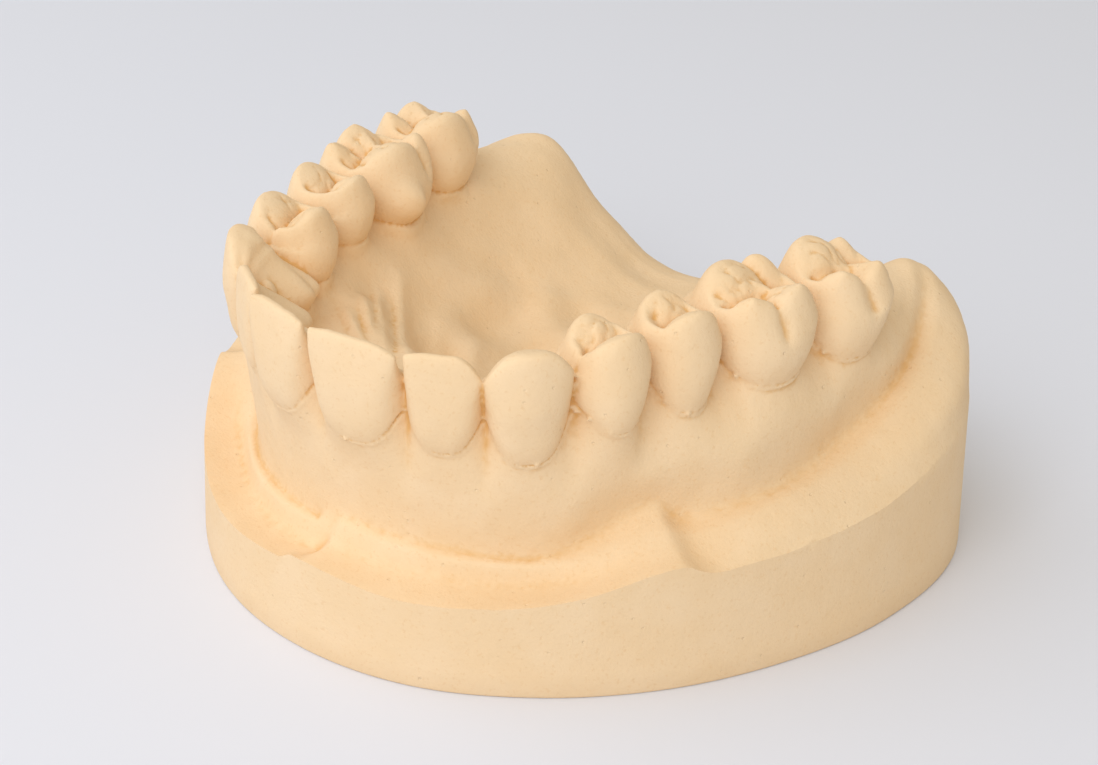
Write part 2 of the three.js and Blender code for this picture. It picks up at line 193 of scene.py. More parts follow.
# One side's teeth, from the midline back.
# at: middle of the crown at the gum. facing: direction of the outer surface, in degrees.
# outer, inner, between: height of the gum margin outside, inside and between the teeth.
# Front teeth have corners (drop of the biting edge at its mesial and distal end), peak (fall from the
# tip to the sides), taper (width at the gum, as a share) and left (what differs on the left side).
# Back teeth have square (how far the outline's corners stand out) and lean (how far mesially the gum
# end lies).
# Back teeth have cusps (along, across, drop, size along, size across), ridges (from along, across,
# drop, to along, across, drop) and grooves (from along, across, to along, across).
# swells: rounded swellings of the inner side: along, height, push, size along, size up.
TEETH = [
    dict(name="central", at=(3.35, -27.2), facing=11.0, width=8.9, depth=6.8, top=31.0,
         outer=21.4, inner=24.3, between=25.2, corners=(0.15, 0.7), peak=0.0, taper=1.01,
         left=dict(at=(5.0, -27.1), width=8.3), swells=[(0.2, 25.4, 0.5, 1.5, 1.4)]),
    dict(name="lateral", at=(10.4, -24.65), facing=30.0, width=6.7, depth=6.3, top=30.8,
         outer=21.8, inner=24.4, between=25.3, corners=(0.2, 1.9), peak=0.0, taper=1.02,
         left=dict(at=(11.3, -24.4), width=6.5), swells=[(0.2, 25.4, 0.5, 1.3, 1.3)]),
    dict(name="canine", at=(15.5, -20.5), facing=48.0, width=7.6, depth=8.2, top=31.5,
         outer=21.3, inner=24.2, between=25.6, corners=(0.2, 0.3), peak=1.7, taper=0.99,
         left=dict(at=(16.0, -20.3)), swells=[(-1.2, 27.1, 0.9, 1.1, 1.7), (1.2, 26.4, 0.9, 1.1, 1.7)]),
    dict(name="first_premolar", at=(19.25, -14.45), facing=75.5, width=7.15, depth=9.6, top=32.1,
         outer=23.8, inner=25.2, between=26.3, square=0.012, lean=0.8,
         cusps=[(0.1, 3.0, 0.0, 3.3, 2.3), (0.0, -3.0, 0.35, 2.4, 2.4)],
         ridges=[(0.1, 3.0, 0.1, 0.1, 0.3, 2.0), (0.0, -3.0, 0.5, 0.1, -0.5, 2.0),
                 (-2.5, 2.3, 1.5, -2.75, 0.2, 1.9), (-2.75, 0.2, 1.9, -2.3, -1.8, 1.5),
                 (2.6, 2.2, 1.0, 2.7, 0.0, 1.6), (2.7, 0.0, 1.6, 2.2, -1.9, 1.3)],
         grooves=[(-1.9, 0.1, 1.9, 0.0), (-1.9, 0.1, -2.0, 1.2), (-1.9, 0.1, -3.4, 0.4)], swells=[]),
    dict(name="second_premolar", at=(21.35, -7.35), facing=75.2, width=7.3, depth=9.5, top=32.4,
         outer=23.8, inner=26.2, between=26.6, square=0.012, lean=0.8,
         cusps=[(0.0, 3.0, 0.0, 2.9, 2.3), (0.2, -3.1, 0.25, 2.5, 2.3)],
         ridges=[(0.0, 3.0, 0.1, 0.3, 0.4, 1.8), (0.2, -3.1, 0.3, -0.1, -1.3, 1.0),
                 (-1.6, 1.9, 1.2, -1.0, 0.6, 2.0), (-2.5, 2.2, 1.4, -2.7, -0.6, 1.5),
                 (-2.7, -0.6, 1.5, -1.6, -2.6, 0.9), (2.6, 2.2, 1.2, 2.6, -0.2, 1.7),
                 (2.6, -0.2, 1.7, 2.0, -2.2, 1.2)],
         grooves=[(-1.7, -0.1, 1.8, -0.1), (-1.7, -0.1, -2.0, 1.3), (1.8, -0.1, 1.9, 1.2)], swells=[]),
    dict(name="first_molar", at=(23.6, 1.2), facing=74.3, width=10.3, depth=11.9, top=32.9,
         outer=24.5, inner=25.3, between=26.6, square=0.03, lean=0.8,
         cusps=[(-3.1, 3.8, 0.6, 2.7, 2.5), (1.9, 3.8, 0.4, 2.4, 2.5),
                (-1.4, -3.3, 0.0, 3.0, 3.0), (2.9, -4.0, 0.0, 2.0, 2.3)],
         ridges=[(-3.1, 3.5, 0.2, -1.8, 0.9, 1.9), (2.1, 3.5, 0.2, 1.2, 0.6, 1.6),
                 (-1.5, -3.0, 0.1, 1.2, 0.6, 1.6), (-1.5, -3.0, 0.1, -3.0, -0.4, 1.6),
                 (3.4, -3.5, 0.4, 3.2, -1.5, 1.7), (-4.5, 2.6, 1.2, -4.9, 0.2, 1.8),
                 (-4.9, 0.2, 1.8, -4.0, -2.2, 1.3), (4.4, 2.5, 1.2, 4.8, 0.2, 1.7),
                 (4.8, 0.2, 1.7, 4.5, -2.4, 1.2)],
         grooves=[(-3.6, 0.4, -0.6, 0.6), (-0.6, 0.6, -0.5, 3.9), (-3.6, 0.4, -3.7, 1.6),
                  (2.2, -0.9, 3.9, 0.3), (2.2, -0.9, 1.3, -3.9), (-2.9, 0.3, -3.7, -0.9)],
         swells=[(-2.9, 27.6, 1.25, 1.7, 1.9)]),
    dict(name="second_molar", at=(25.65, 11.0), facing=78.5, width=9.3, depth=11.5, top=32.8,
         outer=24.2, inner=25.3, between=26.4, square=0.03, lean=1.5,
         cusps=[(-2.8, 3.6, 0.8, 2.5, 2.5), (2.1, 3.2, 1.1, 2.0, 2.3),
                (-1.2, -3.1, 0.0, 2.8, 2.9), (3.2, -3.2, 0.95, 1.8, 2.1)],
         ridges=[(-2.6, 3.3, 0.5, -1.5, 0.8, 2.0), (2.2, 2.9, 1.0, 1.1, 0.4, 1.9),
                 (-1.3, -2.9, 0.1, 1.1, 0.4, 1.9), (3.2, -2.9, 0.7, 2.8, -1.2, 2.0),
                 (-4.0, 2.4, 1.4, -4.4, 0.0, 1.8), (-4.4, 0.0, 1.8, -3.6, -2.1, 1.2),
                 (3.9, 1.9, 1.8, 4.3, 0.0, 2.1), (4.3, 0.0, 2.1, 4.0, -1.9, 1.6)],
         grooves=[(-3.1, 0.2, -0.5, 0.5), (-0.5, 0.5, -0.3, 3.6), (-3.1, 0.2, -3.3, 1.4),
                  (1.9, -0.9, 3.3, 0.1), (1.9, -0.9, 1.3, -3.5)],
         swells=[]),
]

CROWN_AROUND = 240
CROWN_STEPS = 6

# Back teeth. Pairs are where an effect starts and ends, as shares of the height (LIFT) or half width.
LEAN_LIFT = (0.0, 0.7)
RELIEF_LIFT = (0.35, 0.9)
TABLE_LIFT = (0.97, 1.0)
TABLE_SHARE = (0.45, 0.72)
CUSP_FALL = 1.2
CUSP_ROUNDNESS = 1.02
RIDGE_FALL = 0.62
RIDGE_WIDTH = 0.85
RIDGE_TOP = 0.02
RIDGE_ROUNDNESS = 0.75
FOSSA_DEPTH = 2.9
BLEND_SHARPNESS = 8.0
FISSURE_WIDTH = 0.24
FISSURE_DEPTH = 0.5
WRINKLE_DEPTH = 0.3
WRINKLE_WIDTH = 0.22
WRINKLE_WAVES = 7
WRINKLE_LENGTHS = (1.7, 3.4)
WRINKLE_LEVEL = 2.6
SIDE_GROOVE_DEPTH = 0.27
SIDE_GROOVE_WIDTH = 0.6
SIDE_GROOVE_REACH = 3.0
SIDE_GROOVE_LIFT = (0.25, 0.7)
SIDE_GROOVE_SHARE = (0.3, 0.6)

# Inner swellings, and the gum margin round a tooth.
SWELL_SIDE = (-0.2, 0.35)
SWELL_ROUNDNESS = 1.5
MARGIN_TURN = 3.0
BACK_MARGIN_CURVE = 2.8
FRONT_MARGIN_CURVE = 1.8
CANINE_MARGIN_CURVE = 2.4

# Powers of a front tooth's outline, lower is squarer: along and across, outside then inside.
INCISOR_POWERS = ((0.6, 0.7), (0.6, 0.7))
CANINE_POWERS = ((0.8, 0.85), (0.9, 1.0))

# Front teeth. A RISE is where an effect starts and ends, as shares of the height.
CANINE_INSET = 0.13
CANINE_INSET_RISE = (0.3, 0.8)
NECK_NARROWING = 0.2
NECK_RISE = (0.4, 0.9)
MIDDLE_WIDTH = 0.27
MIDDLE_RISE = (0.25, 0.55)
# The canine's ridges: push of the outer one, push and half width of the inner one.
CANINE_RIDGES = (0.35, 0.7, 1.1)
CANINE_RIDGE_RISE = (0.3, 0.6)
INCISOR_SCOOP = 0.4
INCISOR_SCOOP_RISE = (0.8, 0.98)
MESIAL_CORNER = 0.55
DISTAL_CORNER = 0.35
DISTAL_CORNER_WIDTH = 0.7
PEAK_SHARE = 0.08
PEAK_SHARPNESS = 2.8
# How far a biting edge falls inwards, per millimetre.
CANINE_SLANT = 0.25
INCISOR_SLANT = 0.12
SLANT_RISE = (0.75, 1.0)

# Side of a back tooth from the gum up and over: height, share of half width, share of half depth.
BACK_PROFILE = [
    (0.0, 0.87, 0.90), (0.12, 0.925, 0.965), (0.28, 0.97, 1.0), (0.45, 0.99, 0.985),
    (0.6, 1.0, 0.945), (0.74, 0.985, 0.885), (0.86, 0.94, 0.81), (0.95, 0.87, 0.735),
    (1.0, 0.76, 0.64), (1.0, 0.6, 0.5), (1.0, 0.42, 0.36), (1.0, 0.24, 0.21), (1.0, 0.1, 0.09),
    (1.0, 0.0, 0.0)]

# Front teeth from the gum up: height, spread from the taper to the full width, outer and inner side
# as shares of the depth.
FRONT_PROFILE = [
    (0.0, 0.0, 0.40, -0.44), (0.1, 0.22, 0.455, -0.48), (0.22, 0.45, 0.49, -0.44),
    (0.38, 0.7, 0.505, -0.27), (0.55, 0.88, 0.505, -0.04), (0.7, 0.97, 0.49, 0.13),
    (0.85, 1.0, 0.465, 0.23), (0.94, 0.985, 0.445, 0.27), (1.0, 0.93, 0.42, 0.29)]

# The root inside the gum: share of the neck's size, height below the neck.
ROOT_PROFILE = [(0.0, -4.2), (0.3, -4.1), (0.46, -3.0), (0.62, -1.5), (0.86, -0.4)]

# The rounded biting edge: share of the way in to its middle line, rise.
CAP_PROFILE = [(0.15, 0.09), (0.35, 0.16), (0.65, 0.21), (0.97, 0.22)]
CAP_LENGTH = 0.88
CANINE_DOME = 2.2


def distance_to_segment(u, v, u0, v0, u1, v1):
    """Distance from points to a segment, and how far along it the nearest point lies (0 to 1)."""
    length = (u1 - u0) ** 2 + (v1 - v0) ** 2
    t = np.clip(((u - u0) * (u1 - u0) + (v - v0) * (v1 - v0)) / length, 0.0, 1.0)
    return np.hypot(u - u0 - t * (u1 - u0), v - v0 - t * (v1 - v0)), t


def occlusal_relief(tooth, u, v):
    """Height of the chewing surface against the tooth's top, below 0: cusps, ridges and fissures."""
    shapes = [np.full_like(u, -FOSSA_DEPTH)]
    for along, across, drop, size_along, size_across in tooth["cusps"]:
        distance = ((u - along) / size_along) ** 2 + ((v - across) / size_across) ** 2
        shapes.append(-drop - CUSP_FALL * distance ** CUSP_ROUNDNESS)
    for u0, v0, drop0, u1, v1, drop1 in tooth["ridges"]:
        distance, t = distance_to_segment(u, v, u0, v0, u1, v1)
        fall = RIDGE_FALL * ((distance / RIDGE_WIDTH) ** 2 + RIDGE_TOP) ** RIDGE_ROUNDNESS
        shapes.append(-drop0 - (drop1 - drop0) * t - fall)
    total = np.log(sum(np.exp(BLEND_SHARPNESS * shape) for shape in shapes)) / BLEND_SHARPNESS
    for u0, v0, u1, v1 in tooth["grooves"]:
        distance, _ = distance_to_segment(u, v, u0, v0, u1, v1)
        total -= FISSURE_DEPTH * np.exp(-((distance / FISSURE_WIDTH) ** 2))
    return total


def wrinkles(tooth, u, v):
    """Fine meandering grooves of the chewing surface: the zero line of a smooth random field."""
    random = np.random.default_rng(len(tooth["name"]) + int(10 * tooth["width"]))
    field = np.zeros_like(u)
    for _ in range(WRINKLE_WAVES):
        turn, length = random.uniform(0, np.pi), random.uniform(*WRINKLE_LENGTHS)
        along = (u * np.cos(turn) + v * np.sin(turn)) * 2 * np.pi / length
        field += np.sin(along + random.uniform(0, 2 * np.pi))
    return WRINKLE_DEPTH * np.exp(-((field / WRINKLE_LEVEL / WRINKLE_WIDTH) ** 2))


def gum_margin(tooth, theta):
    """Height of the gum margin round a tooth; theta 0 is distal, 90 degrees is outer."""
    outward = 0.5 + 0.5 * np.tanh(MARGIN_TURN * np.sin(theta))
    side = tooth["inner"] + (tooth["outer"] - tooth["inner"]) * outward
    curve = BACK_MARGIN_CURVE if "cusps" in tooth else FRONT_MARGIN_CURVE
    if tooth.get("peak"):
        curve = CANINE_MARGIN_CURVE
    return side + (tooth["between"] - side) * np.abs(np.cos(theta)) ** curve


def crown_angles():
    return np.linspace(0.0, 2 * np.pi, CROWN_AROUND, endpoint=False)[None, :]


def back_crown(tooth):
    """Rings of a premolar or molar in its own frame: along, across, height."""
    theta = crown_angles()
    profile = along_lines(np.array(BACK_PROFILE), CROWN_STEPS)
    lift, share_along, share_across = profile[:, :1], profile[:, 1:2], profile[:, 2:3]
    square = 1.0 + tooth["square"] * (1.0 - np.cos(4 * theta))
    lean = tooth["lean"] * (1.0 - smoothstep(*LEAN_LIFT, lift))
    u = share_along * square * np.cos(theta) * tooth["width"] / 2 - lean
    v = share_across * square * np.sin(theta) * tooth["depth"] / 2
    relief = occlusal_relief(tooth, u, v) * smoothstep(*RELIEF_LIFT, lift)
    neck = gum_margin(tooth, theta)
    table = smoothstep(*TABLE_LIFT, lift) * (1.0 - smoothstep(*TABLE_SHARE, share_along))
    height = neck + (tooth["top"] - neck) * lift + relief - wrinkles(tooth, u, v) * table
    share = np.maximum(share_along, share_across)
    side = smoothstep(*SIDE_GROOVE_LIFT, lift) * smoothstep(*SIDE_GROOVE_SHARE, share)
    for _, _, u1, v1 in tooth["grooves"]:
        if abs(v1) > SIDE_GROOVE_REACH:
            notch = np.exp(-(((u - u1) / SIDE_GROOVE_WIDTH) ** 2)) * side * (v * v1 > 0)
            v = v - SIDE_GROOVE_DEPTH * np.sign(v1) * notch
    return np.stack([u, v - swelling(tooth, u, v, height), height], axis=-1)


def swelling(tooth, u, v, height):
    """How far the inner side of a crown swells out."""
    total = np.zeros_like(u)
    for along, up, push, size_along, size_up in tooth["swells"]:
        distance = ((u - along) / size_along) ** 2 + ((height - up) / size_up) ** 2
        total = total + push * np.exp(-(distance ** SWELL_ROUNDNESS))
    return smoothstep(*SWELL_SIDE, -v / tooth["depth"]) * total


def biting_edge_drop(tooth, share):
    """How far the biting edge lies below the tooth's top, at shares of the half width."""
    mesial, distal = tooth["corners"]
    back = np.clip((share - DISTAL_CORNER) / DISTAL_CORNER_WIDTH, 0.0, 1.0)
    drop = mesial * smoothstep(MESIAL_CORNER, 1.0, -share) + distal * back ** 2
    return drop + tooth["peak"] * np.abs(share - PEAK_SHARE) ** PEAK_SHARPNESS


def front_crown(tooth):
    """Rings of an incisor or canine in its own frame: along, across, height."""
    theta = crown_angles()
    cos, sin = np.cos(theta), np.sin(theta)
    profile = along_lines(np.array(FRONT_PROFILE), 2 * CROWN_STEPS)
    rise, spread, outer, inner = (profile[:, i:i + 1] for i in range(4))
    width, depth, canine = tooth["width"], tooth["depth"], tooth["peak"] > 0
    half_width = width / 2 * (tooth["taper"] + (1.0 - tooth["taper"]) * spread)
    if canine:
        inner = inner - CANINE_INSET * smoothstep(*CANINE_INSET_RISE, rise)
    outside, inside = CANINE_POWERS if canine else INCISOR_POWERS
    power_along = np.where(sin < 0, inside[0], outside[0])
    power_across = np.where(sin < 0, inside[1], outside[1])
    u = half_width * np.sign(cos) * np.abs(cos) ** power_along
    u = u * (1.0 - NECK_NARROWING * np.maximum(-sin, 0.0) * (1.0 - smoothstep(*NECK_RISE, rise)))
    v = depth * ((outer + inner) / 2 + (outer - inner) / 2 * np.sign(sin) * np.abs(sin) ** power_across)
    middle = np.exp(-((u / (MIDDLE_WIDTH * width)) ** 2)) * smoothstep(*MIDDLE_RISE, rise)
    if canine:
        outer_ridge, inner_ridge, ridge_width = CANINE_RIDGES
        inner_middle = np.exp(-((u / ridge_width) ** 2)) * smoothstep(*CANINE_RIDGE_RISE, rise)
        v = v + outer_ridge * middle * (sin > 0) - inner_ridge * inner_middle * (sin < 0)
    else:
        v = v + INCISOR_SCOOP * middle * (1.0 - smoothstep(*INCISOR_SCOOP_RISE, rise)) * (sin < 0)
    drop = biting_edge_drop(tooth, u / (width / 2))
    neck = gum_margin(tooth, theta)
    height = neck + (tooth["top"] - drop - neck) * rise
    slant = CANINE_SLANT if canine else INCISOR_SLANT
    height = height - slant * smoothstep(*SLANT_RISE, rise) * (depth * outer - v)
    return np.stack([u, v - swelling(tooth, u, v, height), height], axis=-1)


def close_crown(tooth, rings):
    """Adds the root that runs down into the gum and rounds a biting edge over at the top."""
    bottom = rings[0]
    centre = bottom.mean(axis=0)
    root = []
    for shrink, sink in ROOT_PROFILE:
        ring = centre + (bottom - centre) * [shrink, shrink, 1.0]
        ring[:, 2] = bottom[:, 2] + sink
        root.append(ring if shrink else np.broadcast_to(centre + [0, 0, sink], ring.shape))
    if "cusps" in tooth:
        return np.concatenate([np.stack(root), rings])
    cap, last = [], rings[-1]
    spine = last.copy()
    spine[:, 1] = last[:, 1].mean()
    spine[:, 2] = (last[:, 2] + np.roll(last[::-1, 2], 1)) / 2
    spine[:, 0] *= CAP_LENGTH
    dome = CANINE_DOME if tooth["peak"] else 1.0
    for inward, lift in CAP_PROFILE:
        ring = last + (spine - last) * inward
        ring[:, 2] += lift * dome
        cap.append(ring)
    point = cap[-1].mean(axis=0)
    point[2] = cap[-1][:, 2].max()
    cap.append(np.broadcast_to(point, last.shape))
    return np.concatenate([np.stack(root), rings, np.stack(cap)])


def on_side(tooth, side):
    """The tooth as it stands on one side: the left front teeth differ slightly in place and width."""
    return tooth if side > 0 else {**tooth, **tooth.get("left", {})}


def to_cast(tooth, local, side):
    """Points of a tooth's own frame in the frame of the cast, on the right (1) or left (-1)."""
    turn = math.radians(tooth["facing"])
    x = tooth["at"][0] + local[..., 0] * math.cos(turn) + local[..., 1] * math.sin(turn)
    y = tooth["at"][1] + local[..., 0] * math.sin(turn) - local[..., 1] * math.cos(turn)
    return np.stack([side * x, y, local[..., 2]], axis=-1)


def crown_rings(tooth, side):
    tooth = on_side(tooth, side)
    local = back_crown(tooth) if "cusps" in tooth else front_crown(tooth)
    rings = to_cast(tooth, close_crown(tooth, local), side)
    return rings[:, ::-1] if side > 0 else rings


# ---------------------------------------------------------------- gum margins

GUM_COLLAR = -0.3
GUM_DROP = 0.17
PAPILLA_LIFT = 0.1
PAPILLA_RECESS = 0.85
MARGIN_STEP = 0.25
MARGIN_SMOOTHING = 0.55
MARGIN_REACH = 200.0
NECK_SPREAD = (30.0, 150.0)
NECK_POINTS = 41
FADE_BEHIND = 10.0


def neck_arc(tooth, side, outer):
    """Angle, radius and height of a tooth's neck on its outer or its palatal side."""
    tooth = on_side(tooth, side)
    spread = np.radians(np.linspace(*NECK_SPREAD, NECK_POINTS))
    theta = spread if outer else -spread
    neck = (back_crown(tooth) if "cusps" in tooth else front_crown(tooth))[0]
    place = (theta / (2 * np.pi) * CROWN_AROUND) % CROWN_AROUND
    ring = neck[np.rint(place).astype(int) % CROWN_AROUND]
    world = to_cast(tooth, ring, side)
    angle = np.degrees(np.arctan2(world[:, 0], -world[:, 1]))
    radius = np.hypot(world[:, 0], world[:, 1]) + (GUM_COLLAR if outer else -GUM_COLLAR)
    order = np.argsort(angle)
    return np.stack([angle, radius, world[:, 2] - GUM_DROP], axis=-1)[order]


def gum_margin_line(outer):
    """The outer or palatal gum margin as angles, radii and heights, with a papilla between teeth."""
    row = [(tooth, -1) for tooth in reversed(TEETH)] + [(tooth, 1) for tooth in TEETH]
    arcs = [neck_arc(tooth, side, outer) for tooth, side in row]
    recess = -PAPILLA_RECESS if outer else PAPILLA_RECESS
    points = [arcs[0]]
    for (tooth, _), (following, _), arc, ahead in zip(row, row[1:], arcs, arcs[1:]):
        height = (tooth["between"] + following["between"]) / 2 + PAPILLA_LIFT
        middle = (arc[-1] + ahead[0]) / 2
        points.append(np.array([[middle[0], middle[1] + recess, height]]))
        points.append(ahead)
    points = np.concatenate(points)
    return points[np.argsort(points[:, 0])]


def margins_at(degrees, outer, smoothing=MARGIN_SMOOTHING):
    """Radius and height of the gum margin at angles, and how far it holds (0 past the last tooth)."""
    line = gum_margin_line(outer)
    grid = np.arange(-MARGIN_REACH, MARGIN_REACH, MARGIN_STEP)
    spread = np.arange(-3 * smoothing, 3 * smoothing + MARGIN_STEP / 2, MARGIN_STEP)
    weights = np.exp(-0.5 * (spread / smoothing) ** 2)
    weights /= weights.sum()
    turn = (np.asarray(degrees) + 180.0) % 360.0 - 180.0
    found = []
    for column in (1, 2):
        smooth = np.convolve(np.interp(grid, line[:, 0], line[:, column]), weights, mode="same")
        found.append(np.interp(turn, grid, smooth))
    first, last = line[0, 0], line[-1, 0]
    held = smoothstep(first - FADE_BEHIND, first, turn) * (1.0 - smoothstep(last, last + FADE_BEHIND, turn))
    return found[0], found[1], held


# ---------------------------------------------------------------- meshes

def ring_mesh(name, rings):
    """Closed mesh of rings whose first and last are single points, lowest ring first."""
    count, around = rings.shape[:2]
    vertices = np.vstack([rings[0, :1], rings[1:-1].reshape(-1, 3), rings[-1, :1]])
    step = np.arange(around)
    following = (step + 1) % around
    start = 1 + np.arange(count - 3)[:, None] * around
    above = start + around
    quads = np.stack([start + step, start + following, above + following, above + step], axis=-1)
    quads = quads.reshape(-1, 4)
    last_ring = 1 + (count - 3) * around
    first = np.stack([np.zeros(around, int), 1 + following, 1 + step], axis=-1)
    top_point = np.full(around, len(vertices) - 1)
    final = np.stack([last_ring + step, last_ring + following, top_point], axis=-1)
    loops = np.concatenate([quads.ravel(), first.ravel(), final.ravel()]).astype(np.int32)
    sizes = np.concatenate([np.full(len(quads), 4), np.full(2 * around, 3)])
    mesh = bpy.data.meshes.new(name)
    mesh.vertices.add(len(vertices))
    mesh.vertices.foreach_set("co", (vertices * MM).astype(np.float32).ravel())
    mesh.loops.add(len(loops))
    mesh.loops.foreach_set("vertex_index", loops)
    mesh.polygons.add(len(sizes))
    starts = np.concatenate([[0], np.cumsum(sizes)[:-1]])
    mesh.polygons.foreach_set("loop_start", starts.astype(np.int32))
    mesh.update(calc_edges=True)
    mesh.validate()
    return mesh


def new_object(name, mesh):
    piece = bpy.data.objects.new(name, mesh)
    bpy.context.scene.collection.objects.link(piece)
    return piece


def ellipsoid(name, centre, radii, around=24):
    shape = bmesh.new()
    bmesh.ops.create_uvsphere(shape, u_segments=around, v_segments=around // 2, radius=1.0)
    for vertex in shape.verts:
        vertex.co = Vector([(c + r * p) * MM for c, r, p in zip(centre, radii, vertex.co)])
    mesh = bpy.data.meshes.new(name)
    shape.to_mesh(mesh)
    shape.free()
    return new_object(name, mesh)


def apply_modifiers(piece):
    depsgraph = bpy.context.evaluated_depsgraph_get()
    final = bpy.data.meshes.new_from_object(piece.evaluated_get(depsgraph))
    piece.modifiers.clear()
    piece.data = final


def combine(piece, others, operation):
    """Joins the other solids to the piece, cuts them from it or keeps what they share."""
    group = bpy.data.collections.new("operands")
    bpy.context.scene.collection.children.link(group)
    for other in others:
        group.objects.link(other)
    modifier = piece.modifiers.new("combine", "BOOLEAN")
    modifier.operation = operation
    modifier.operand_type = "COLLECTION"
    modifier.collection = group
    modifier.solver = "MANIFOLD"
    apply_modifiers(piece)
    for other in others:
        bpy.data.objects.remove(other)
    bpy.data.collections.remove(group)


def vertex_array(mesh, name="co"):
    values = np.empty(len(mesh.vertices) * 3, np.float32)
    if name == "co":
        mesh.vertices.foreach_get("co", values)
    else:
        mesh.vertex_normals.foreach_get("vector", values)
    return values.reshape(-1, 3).astype(float)


# ---------------------------------------------------------------- gums, palate and land

GUM_AROUND = 720
GUM_STEPS = 14
OVERHANG = 2.0
BLANK_FLOOR = 2.0
TRIMMER_STEPS = 9
TRIMMER_HEIGHTS = (24.0, 36.0)
FREE_GUM_ROLL = -0.02
FREE_GUM_INWARD = 0.15
FREE_GUM_DOWN = 0.18
CREST_RISE = 0.2
FADE_SHARE = 0.4
FADE_SMOOTHING = 5.0
FADE_INWARD = 1.3
FADE_DOWN = 1.9

# Palatal folds of one side: from x, y to x, y, height, half width.
RUGAE = [(0.9, -18.0, 15.0, -4.0, 0.95, 0.75), (3.6, -17.8, 14.6, -7.6, 0.9, 0.6),
         (5.6, -17.2, 13.8, -10.4, 0.8, 0.55), (5.6, -18.6, 12.6, -13.9, 0.65, 0.5),
         (2.4, -14.0, 10.5, -3.0, 0.6, 0.8), (1.6, -10.0, 8.5, 0.5, 0.4, 0.9)]
FOLD_START = 0.1
PALATE_REACH = (15.5, 20.5)
PALATE_WAVE_LENGTH = 4.2
PALATE_WAVE_COUNT = 12
PALATE_WAVE_STRETCH = [1.0, 0.45, 0.45]
PALATE_WAVES = 0.55


def all_round():
    """Angles of the points of a ring round the cast."""
    return np.arange(GUM_AROUND) * 360.0 / GUM_AROUND


def gum_sections(degrees):
    """Radius and height of every line at every angle, drawn to the teeth where there are teeth."""
    outer_radius, outer_height, toothed = margins_at(degrees, True)
    inner_radius, inner_height, _ = margins_at(degrees, False)
    soft_radius, soft_height, _ = margins_at(degrees, False, FADE_SMOOTHING)
    lift = swell_at(degrees)
    radius = [np.zeros_like(degrees)]
    height = [np.full_like(degrees, PALATE_CENTRE_HEIGHT)]
    for index, (name, radii, heights) in enumerate(LINES):
        r, z = at_angle(radii, degrees), at_angle(heights, degrees)
        if name == "palatal gum line":
            fade_r = r + FADE_SHARE * (radius[-1] - r)
            fade_z = z + FADE_SHARE * (height[-1] - z)
            radius.append(fade_r + toothed * (soft_radius - FADE_INWARD - fade_r))
            height.append(fade_z + toothed * (soft_height - FADE_DOWN - fade_z))
            r, z = r + toothed * (inner_radius - r), z + toothed * (inner_height - z)
        elif name == "ridge crest":
            crest = np.maximum(outer_height, inner_height) + CREST_RISE
            middle = (outer_radius + inner_radius) / 2
            r, z = r + toothed * (middle - r), z + toothed * (crest - z)
        elif name == "outer gum line":
            r, z = r + toothed * (outer_radius - r), z + toothed * (outer_height - z)
        if name in LAND_LINES:
            z = z + lift - scoop_at(degrees, name)
        radius.append(r)
        height.append(z)
        if name == "outer gum line":
            _, next_radii, next_heights = LINES[index + 1]
            roll = toothed * FREE_GUM_ROLL
            radius.append(r + roll + FREE_GUM_INWARD * (at_angle(next_radii, degrees) - r))
            height.append(z + FREE_GUM_DOWN * (at_angle(next_heights, degrees) - z))
    rim = rim_height(degrees)
    rim_radius = wall_radius(degrees, rim)
    slope = (rim - height[-1]) / (rim_radius - radius[-1])
    radius.append(rim_radius)
    height.append(rim)
    radius.append(rim_radius + OVERHANG)
    height.append(rim + slope * OVERHANG)
    return np.array(radius), np.array(height)


def gum_top(degrees):
    """The top surface as rings from the palate's middle out past the rim."""
    radius, height = gum_sections(degrees)
    section = along_lines(np.stack([radius, height], axis=-1), GUM_STEPS)
    return polar(section[..., 0], degrees[None, :], section[..., 1])


WAVE_LENGTH_SPREAD = (0.7, 1.5)


def waves(points, random, length, count):
    """Smooth random undulation, about -1 to 1, whose features are about length across."""
    total = np.zeros(len(points))
    for _ in range(count):
        direction = random.normal(size=3)
        direction /= np.linalg.norm(direction)
        wave = 2 * np.pi / (length * random.uniform(*WAVE_LENGTH_SPREAD))
        total += np.sin(points @ direction * wave + random.uniform(0, 2 * np.pi))
    return total / math.sqrt(count)


def add_folds(points):
    """Raises the folds on the front of the palate and makes its vault slightly uneven."""
    for side in (1, -1):
        for x0, y0, x1, y1, rise, width in RUGAE:
            distance, t = distance_to_segment(side * points[..., 0], points[..., 1], x0, y0, x1, y1)
            along = np.sin(np.pi * (FOLD_START + (1.0 - 2.0 * FOLD_START) * t))
            points[..., 2] += rise * along * np.exp(-((distance / width) ** 2))
    stretched = points.reshape(-1, 3) * PALATE_WAVE_STRETCH
    random = np.random.default_rng(3)
    unevenness = waves(stretched, random, PALATE_WAVE_LENGTH, PALATE_WAVE_COUNT)
    unevenness = unevenness.reshape(points.shape[:-1])
    reach = 1.0 - smoothstep(*PALATE_REACH, np.hypot(points[..., 0], points[..., 1]))
    points[..., 2] += PALATE_WAVES * unevenness * reach
    return points


def gum_blank():
    """The upper part before it is trimmed: palate, gums and land, wider and deeper than needed."""
    degrees = all_round()
    top = add_folds(gum_top(degrees))[::-1]
    edge = top[0]
    floor = edge.copy()
    floor[:, 2] = BLANK_FLOOR
    centre = polar(0.0 * degrees, degrees, BLANK_FLOOR)
    below = np.stack([centre, 0.5 * floor + 0.5 * centre, floor])
    return ring_mesh("anatomic_stone", np.concatenate([below, top]))


